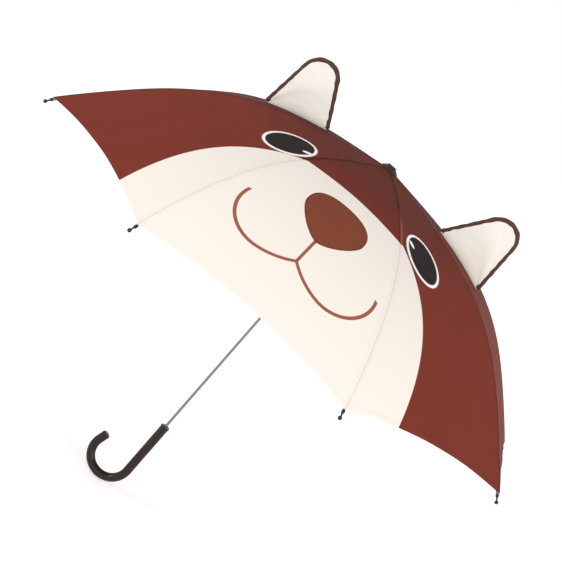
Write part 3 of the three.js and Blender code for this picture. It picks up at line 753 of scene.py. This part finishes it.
# %% Turning helper
def turn_profile(profile, steps=48, axis=(0, 0, 1), base=(0, 0, 0)):
    """Closed body of revolution: each (radius, height) of the profile goes round the axis from the base.
    Returns points and faces; a radius of 0 at either end closes the body in a pole."""
    profile = np.array(profile, float)
    axis = np.array(axis, float) / np.linalg.norm(axis)
    side = np.cross(axis, (0, 1, 0)) if abs(axis[1]) < 0.9 else np.cross(axis, (1, 0, 0))
    side /= np.linalg.norm(side)
    other = np.cross(axis, side)
    turn = np.linspace(0, 2 * math.pi, steps, endpoint=False)
    ring = np.cos(turn)[:, None] * side + np.sin(turn)[:, None] * other
    middle = profile[1:-1]
    points = middle[:, :1, None] * ring[None] + middle[:, 1:, None] * axis
    ends = profile[[0, -1], 1][:, None] * axis
    points = np.concatenate([points.reshape(-1, 3), ends]) + np.array(base, float)
    size = len(middle) * steps
    faces = quads(len(middle), steps, wrap=True)[:, ::-1].tolist()
    j = np.arange(steps)
    k = (j + 1) % steps
    low = np.stack([np.full(steps, size), k, j], -1)
    high = np.stack([np.full(steps, size + 1), size - steps + j, size - steps + k], -1)
    return points, faces + low.tolist() + high.tolist()


def rounded(corners, radius, steps=5):
    """Profile with every inner corner replaced by a curve: points of a quadratic bend between its sides."""
    corners = np.array(corners, float)
    out = [corners[0]]
    for before, corner, after in zip(corners[:-2], corners[1:-1], corners[2:]):
        cut = min(radius, np.linalg.norm(corner - before) / 2.2, np.linalg.norm(after - corner) / 2.2)
        start = corner + (before - corner) / np.linalg.norm(before - corner) * cut
        end = corner + (after - corner) / np.linalg.norm(after - corner) * cut
        s = np.linspace(0, 1, steps)[:, None]
        out.extend((1 - s) ** 2 * start + 2 * s * (1 - s) * corner + s**2 * end)
    out.append(corners[-1])
    return np.array(out)


print("a rounded corner takes", len(rounded([(0, 0), (1, 0), (1, 1)], 0.1)) - 2, "points")

# %% Hard finishes
grip_plastic = Finish("grip_plastic", {
    "Base Color": colour(40, 28, 26), "Roughness": 0.16, "Specular IOR Level": 0.27})
spot, _ = grip_plastic.place()
grip_plastic.feed("Roughness", 0.12 + grip_plastic.noise(spot, 60.0, 3.0) * 0.1)

black_plastic = Finish("black_plastic", {
    "Base Color": colour(44, 31, 28), "Roughness": 0.3, "Specular IOR Level": 0.35})
spot, _ = black_plastic.place()
black_plastic.feed("Roughness", 0.26 + black_plastic.noise(spot, 150.0, 2.0) * 0.14)

steel = Finish("bright_steel", {"Base Color": (0.22, 0.22, 0.225, 1), "Metallic": 1.0, "Roughness": 0.28})
spot, _ = steel.place()
steel.feed("Roughness", 0.22 + steel.noise(spot, 900.0, 1.0) * 0.14)

dark_steel = Finish("dark_steel", {"Base Color": (0.2, 0.19, 0.19, 1), "Metallic": 1.0, "Roughness": 0.38})
hard = (grip_plastic, black_plastic, steel, dark_steel)
print("hard finishes:", ", ".join(finish.material.name for finish in hard))

# %% [markdown]
# ## Shaft, ferrule and tips
# The shaft is a thin steel tube, drawn smooth. The ferrule is a low black cap that clamps the cloth at
# the crown. Each rib ends in a small black tip with a collar, a thin neck and a bead, sewn to the
# corner of the cloth.

# %% Turned pieces
SHAFT_RADIUS = 2.0 * MM
GRIP_TOP = 0.1199
GRIP_RADIUS = 6.25 * MM
COLLAR_RADIUS = GRIP_RADIUS + 0.5 * MM
FERRULE_RADIUS = 13.0 * MM
FERRULE_TOP = CROWN_HEIGHT + 5.4 * MM
FABRIC_TO_RIB = 3.2 * MM


def add_turned(name, profile, finish, body, node, steps=48, axis=(0, 0, 1), base=(0, 0, 0)):
    points, faces = turn_profile(profile, steps, axis, base)
    piece = make_piece(name, points, faces, finish, sharp=50)
    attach(piece, body)
    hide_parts(node)
    return piece


low, high = GRIP_TOP - 0.060, FERRULE_TOP - 4.5 * MM
shaft_profile = [(0, low), (SHAFT_RADIUS, low), (SHAFT_RADIUS, high), (0, high)]
add_turned("shaft_bar", shaft_profile, steel, "shaft", "shaft_tube")

rim = float(rib_height(FERRULE_RADIUS)) - 0.4 * MM
ferrule_profile = rounded([
    (0, rim + 0.2 * MM), (FERRULE_RADIUS, rim), (FERRULE_RADIUS, rim + 1.6 * MM),
    (FERRULE_RADIUS - 2.4 * MM, rim + 3.4 * MM), (8.0 * MM, FERRULE_TOP - 2.2 * MM),
    (7.2 * MM, FERRULE_TOP - 2.2 * MM), (6.4 * MM, FERRULE_TOP), (0, FERRULE_TOP),
], 1.1 * MM)
add_turned("ferrule", ferrule_profile, black_plastic, "shaft", "ferrule_cap", 72)

collar_profile = rounded([
    (0, GRIP_TOP - 3.0 * MM), (COLLAR_RADIUS, GRIP_TOP - 3.0 * MM), (COLLAR_RADIUS, GRIP_TOP),
    (4.0 * MM, GRIP_TOP), (3.2 * MM, GRIP_TOP - 0.6 * MM), (0, GRIP_TOP - 0.6 * MM),
], 0.7 * MM)
add_turned("grip_collar", collar_profile, grip_plastic, "shaft", "handle_collar", 64)

tip_outward, tip_upward = rib_direction(CORNER_RADIUS)
tip_profile = rounded([
    (0, 0.2 * MM), (2.1 * MM, 0.2 * MM), (2.2 * MM, 3.9 * MM), (1.2 * MM, 4.8 * MM), (1.0 * MM, 8.4 * MM),
    (2.3 * MM, 9.3 * MM), (2.7 * MM, 10.9 * MM), (1.9 * MM, 12.9 * MM), (0, 13.4 * MM),
], 0.8 * MM)
for k in range(1, GORES + 1):
    azimuth = gore_azimuth(k) + HALF_GORE
    axis = turned(np.array([tip_outward, 0.0, tip_upward]), azimuth)
    inward = CORNER_RADIUS + tip_upward * FABRIC_TO_RIB
    corner = np.array([inward, 0.0, CORNER_HEIGHT - tip_outward * FABRIC_TO_RIB])
    add_turned(f"tip_{k}", tip_profile, black_plastic, f"rib_{k}", f"rib_tip_{k}", 28,
               axis, turned(corner, azimuth))
print("turned pieces: shaft, ferrule, collar and", GORES, "tips")

# %% [markdown]
# ## The crook handle
# The handle is moulded in one piece: a straight grip, a bend of a little more than half a turn and a
# short straight end. It could be a curve with a round bevel, but a circle carried along a line that is
# worked out here gives even faces, a rounded end and a place for the collar.


# %% Crook
CROOK_RADIUS = 29.3 * MM
CROOK_TURN = math.radians(195)
CROOK_END = 13.6 * MM
CROOK_RINGS, CROOK_SIDES = 150, 40
END_ROUND = 1.6 * MM


def crook_line(count):
    """Line in the XZ plane: straight down, an arc to -X, then straight on; points and directions."""
    centre_z = CROOK_RADIUS + GRIP_RADIUS
    straight_run = GRIP_TOP - 2 * MM - centre_z
    arc_run = CROOK_RADIUS * CROOK_TURN
    s = np.linspace(0, straight_run + arc_run + CROOK_END, count)
    turn = np.clip((s - straight_run) / CROOK_RADIUS, 0, CROOK_TURN)
    beyond = np.clip(s - straight_run - arc_run, 0, None)
    x = -CROOK_RADIUS + CROOK_RADIUS * np.cos(turn) - np.sin(turn) * beyond
    z = centre_z + np.clip(straight_run - s, 0, None) - CROOK_RADIUS * np.sin(turn) - np.cos(turn) * beyond
    return np.stack([x, z], -1), np.stack([-np.sin(turn), -np.cos(turn)], -1), s


line, ahead, run = crook_line(CROOK_RINGS)
left = run[-1] - run
size = GRIP_RADIUS * np.sqrt(np.clip(1 - np.clip(1 - left / END_ROUND, 0, 1) ** 2 * 0.45, 0, 1))
turn = np.linspace(0, 2 * math.pi, CROOK_SIDES, endpoint=False)
circle_x = line[:, :1] + size[:, None] * np.cos(turn) * ahead[:, 1:]
circle_z = line[:, 1:] - size[:, None] * np.cos(turn) * ahead[:, :1]
circle_y = size[:, None] * np.sin(turn)
crook_points = np.stack([circle_x, circle_y, circle_z], -1)
crook_faces = quads(*circle_x.shape, wrap=True)[:, ::-1].tolist()
crook_faces += [list(range(CROOK_SIDES)), list(range(circle_x.size - CROOK_SIDES, circle_x.size))[::-1]]
crook = make_piece("crook", crook_points, crook_faces, grip_plastic, sharp=60)
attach(crook, "shaft")
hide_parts("crook_handle", "crook_end_plug")
print("crook:", round(float(run[-1]), 3), "m along its line")

# %% [markdown]
# ## The tie strap
# A narrow strap is sewn to the back panel and snaps round the rolled umbrella. Here it lies down the
# middle of the panel, with its press stud near the free end.

# %% Strap and stud
STRAP_WIDTH = 14 * MM
STRAP_FROM, STRAP_TO = 0.296, 0.378
STRAP_HALF = 0.45 * MM
STRAP_ROWS, STRAP_COLUMNS = 41, 13
strap_cloth = Finish("strap_cloth", {
    "Base Color": BROWN, "Roughness": 0.7, "Specular IOR Level": 0.14, "Sheen Weight": 0.02,
    "Sheen Roughness": 0.4})
spot, (across, down, _) = strap_cloth.place("panel")
edge = abs(abs(across) / MM - 5.4)
stitches = edge.ramp(0.5, 0.15) * (down * (2 * math.pi / STITCH)).sine().ramp(-0.5, 0.1)
strap_surface = weave_height(strap_cloth, across, down) * 0.1 - stitches
strap_cloth.feed("Normal", strap_cloth.bump(strap_surface, 0.35 * MM, 0.8))

t = np.linspace(0, 1, STRAP_ROWS)[:, None]
v = np.linspace(-1, 1, STRAP_COLUMNS)[None, :]
r = STRAP_FROM + (STRAP_TO - STRAP_FROM) * t
soft_end = np.sqrt(np.clip(1 - np.clip((t - 0.93) / 0.07, 0, 1) ** 2 * 0.75, 0, 1))
lift = (0.75 + 0.5 * np.sin(7 * t) * t + 0.25 * np.sin(2 * v + 5 * t)) * MM
sideways = v * soft_end * STRAP_WIDTH / 2
sides = []
for depth in (-lift - STRAP_HALF, -lift + STRAP_HALF):
    side = gore_point(1, r + 0 * v, 0 * v, depth)
    side[..., 1] = sideways
    sides.append(turned(side, gore_azimuth(1)))
panel = np.stack(np.broadcast_arrays(sideways, np.interp(r, RADII, LENGTHS)), -1)
strap = make_piece("strap", np.concatenate(sides), shell_faces(STRAP_ROWS, STRAP_COLUMNS), strap_cloth,
                   maps={"panel": twice(panel)})
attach(strap, "gore_1")
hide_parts("tie_strap")

# %% [markdown]
# ## Finishes of the working parts
# Stretchers, runner, notch, wires, rivets and the four straight-hanging ribs keep the solid model's own
# meshes, since they are small and sit under the cloth. They only get their finishes. The four side ribs
# are the solid model's ribs again, point by point, each moved in as far as the cloth above it.

# %% Working parts
def bent_rib(k):
    """The solid model's rib, drawn in square to its line as the side panels are."""
    solid = nodes[f"rib_{k}"]
    points = np.empty(len(solid.data.vertices) * 3, np.float32)
    solid.data.vertices.foreach_get("co", points)
    points = points.reshape(-1, 3).astype(float) @ np.array(solid.matrix_world.to_3x3()).T
    points += np.array(solid.matrix_world.translation)
    azimuth = gore_azimuth(k) + HALF_GORE
    radial = np.array([math.sin(azimuth), -math.cos(azimuth), 0.0])
    r = points @ radial
    outward, upward = rib_direction(np.clip(r, 0, None))
    points += (sink(r) * upward)[:, None] * radial
    points[:, 2] -= sink(r) * outward
    faces = [list(face.vertices) for face in solid.data.polygons]
    return make_piece(f"bent_rib_{k}", points, faces, steel, sharp=30)


for k in SUNK_RIBS:
    rib = bent_rib(k)
    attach(rib, f"rib_{k}")
    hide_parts(f"rib_{k}")

by_node = {"runner": black_plastic, "top_notch": black_plastic, "notch_wire": steel, "runner_wire": steel,
           "crown_rosette": piping_cloth, "top_catch": dark_steel, "bottom_catch": dark_steel,
           "stop_pin": dark_steel, "snap_stud": dark_steel}
for k in range(1, GORES + 1):
    by_node[f"joint_rivet_{k}"] = dark_steel
    for part in ("rib", "stretcher"):
        by_node[f"{part}_{k}"] = steel
for name, finish in by_node.items():
    for slot in nodes[name].material_slots:
        slot.material = finish.material
print("finished solid pieces:", len(by_node))

# %% [markdown]
# ## Studio
# White floor, white surroundings and soft lights, as for a catalogue. The room is brighter near the
# horizon than overhead. A key light stands to the left of the face and a larger fill light to the
# right, both higher than the crown.

# %% Floor and surroundings
FLOOR_GLOW = 0.48
ROOM_LOW, ROOM_HIGH = 1.1, 0.68
floor_finish = Finish("floor_white", {"Base Color": (0.9, 0.9, 0.9, 1), "Roughness": 1.0,
                                      "Specular IOR Level": 0.0, "Emission Color": (1, 1, 1, 1),
                                      "Emission Strength": FLOOR_GLOW})
FLOOR_SIZE = 30.0
corners = np.array([[-1, -1, 0], [1, -1, 0], [1, 1, 0], [-1, 1, 0]]) * FLOOR_SIZE - [0, 0, 0.0005]
floor = make_piece("floor", corners, [[0, 1, 2, 3]], floor_finish)

world = bpy.data.worlds.new("white_room")
bpy.context.scene.world = world
world.use_nodes = True
tree = world.node_tree
spot = tree.nodes.new("ShaderNodeTexCoord")
parts = tree.nodes.new("ShaderNodeSeparateXYZ")
tree.links.new(spot.outputs["Generated"], parts.inputs[0])
ceiling = tree.nodes.new("ShaderNodeMapRange")
for label, value in {"From Min": 0.0, "From Max": 0.75, "To Min": ROOM_LOW, "To Max": ROOM_HIGH}.items():
    ceiling.inputs[label].default_value = value
tree.links.new(parts.outputs["Z"], ceiling.inputs["Value"])
seen = tree.nodes.new("ShaderNodeLightPath")
strength = tree.nodes.new("ShaderNodeMix")
tree.links.new(seen.outputs["Is Camera Ray"], strength.inputs[0])
tree.links.new(ceiling.outputs[0], strength.inputs[2])
strength.inputs[3].default_value = 1.0
tree.links.new(strength.outputs[0], tree.nodes["Background"].inputs["Strength"])
tree.nodes["Background"].inputs["Color"].default_value = (1, 1, 1, 1)
print("floor and world ready")


# %% Lights
def soft_light(name, place, aim, size, power):
    lamp = bpy.data.lights.new(name, "AREA")
    lamp.shape = "DISK"
    lamp.size = size
    lamp.energy = power
    holder = bpy.data.objects.new(name, lamp)
    holder.location = place
    holder.rotation_euler = (Vector(aim) - Vector(place)).to_track_quat("-Z", "Y").to_euler()
    bpy.context.scene.collection.objects.link(holder)


MIDDLE = (0, 0, 0.42)
soft_light("key", (-2.4, -2.4, 1.2), MIDDLE, 0.8, 22)
soft_light("fill", (2.6, -1.7, 1.0), MIDDLE, 2.0, 22)
bpy.context.scene.view_settings.view_transform = "Standard"

# %% [markdown]
# ## Camera
# The umbrella is shown tilted: the camera looks at the face from a little above and is itself rolled,
# so that the shaft runs up to the right. A long lens keeps the ribs' curves quiet.

# %% Camera
AZIMUTH, ELEVATION, ROLL = (math.radians(a) for a in (3.016, 10.905, 41.036))
AIM = Vector((-0.0096, -0.0389, 0.3852))
DISTANCE = 2.0
FOCAL_LENGTH = 97.92
back = Vector((math.sin(AZIMUTH) * math.cos(ELEVATION), -math.cos(AZIMUTH) * math.cos(ELEVATION),
               math.sin(ELEVATION)))
right = Vector((math.cos(AZIMUTH), math.sin(AZIMUTH), 0))
up = back.cross(right)
rolled_right = right * math.cos(ROLL) + up * math.sin(ROLL)
rolled_up = up * math.cos(ROLL) - right * math.sin(ROLL)
view = Matrix((rolled_right, rolled_up, back)).transposed().to_4x4()
view.translation = AIM + back * DISTANCE
lens = bpy.data.cameras.new("camera")
lens.lens = FOCAL_LENGTH
lens.clip_end = 100
camera = bpy.data.objects.new("camera", lens)
camera.matrix_world = view
bpy.context.scene.collection.objects.link(camera)
bpy.context.scene.camera = camera
print("camera at", [round(c, 3) for c in view.translation])
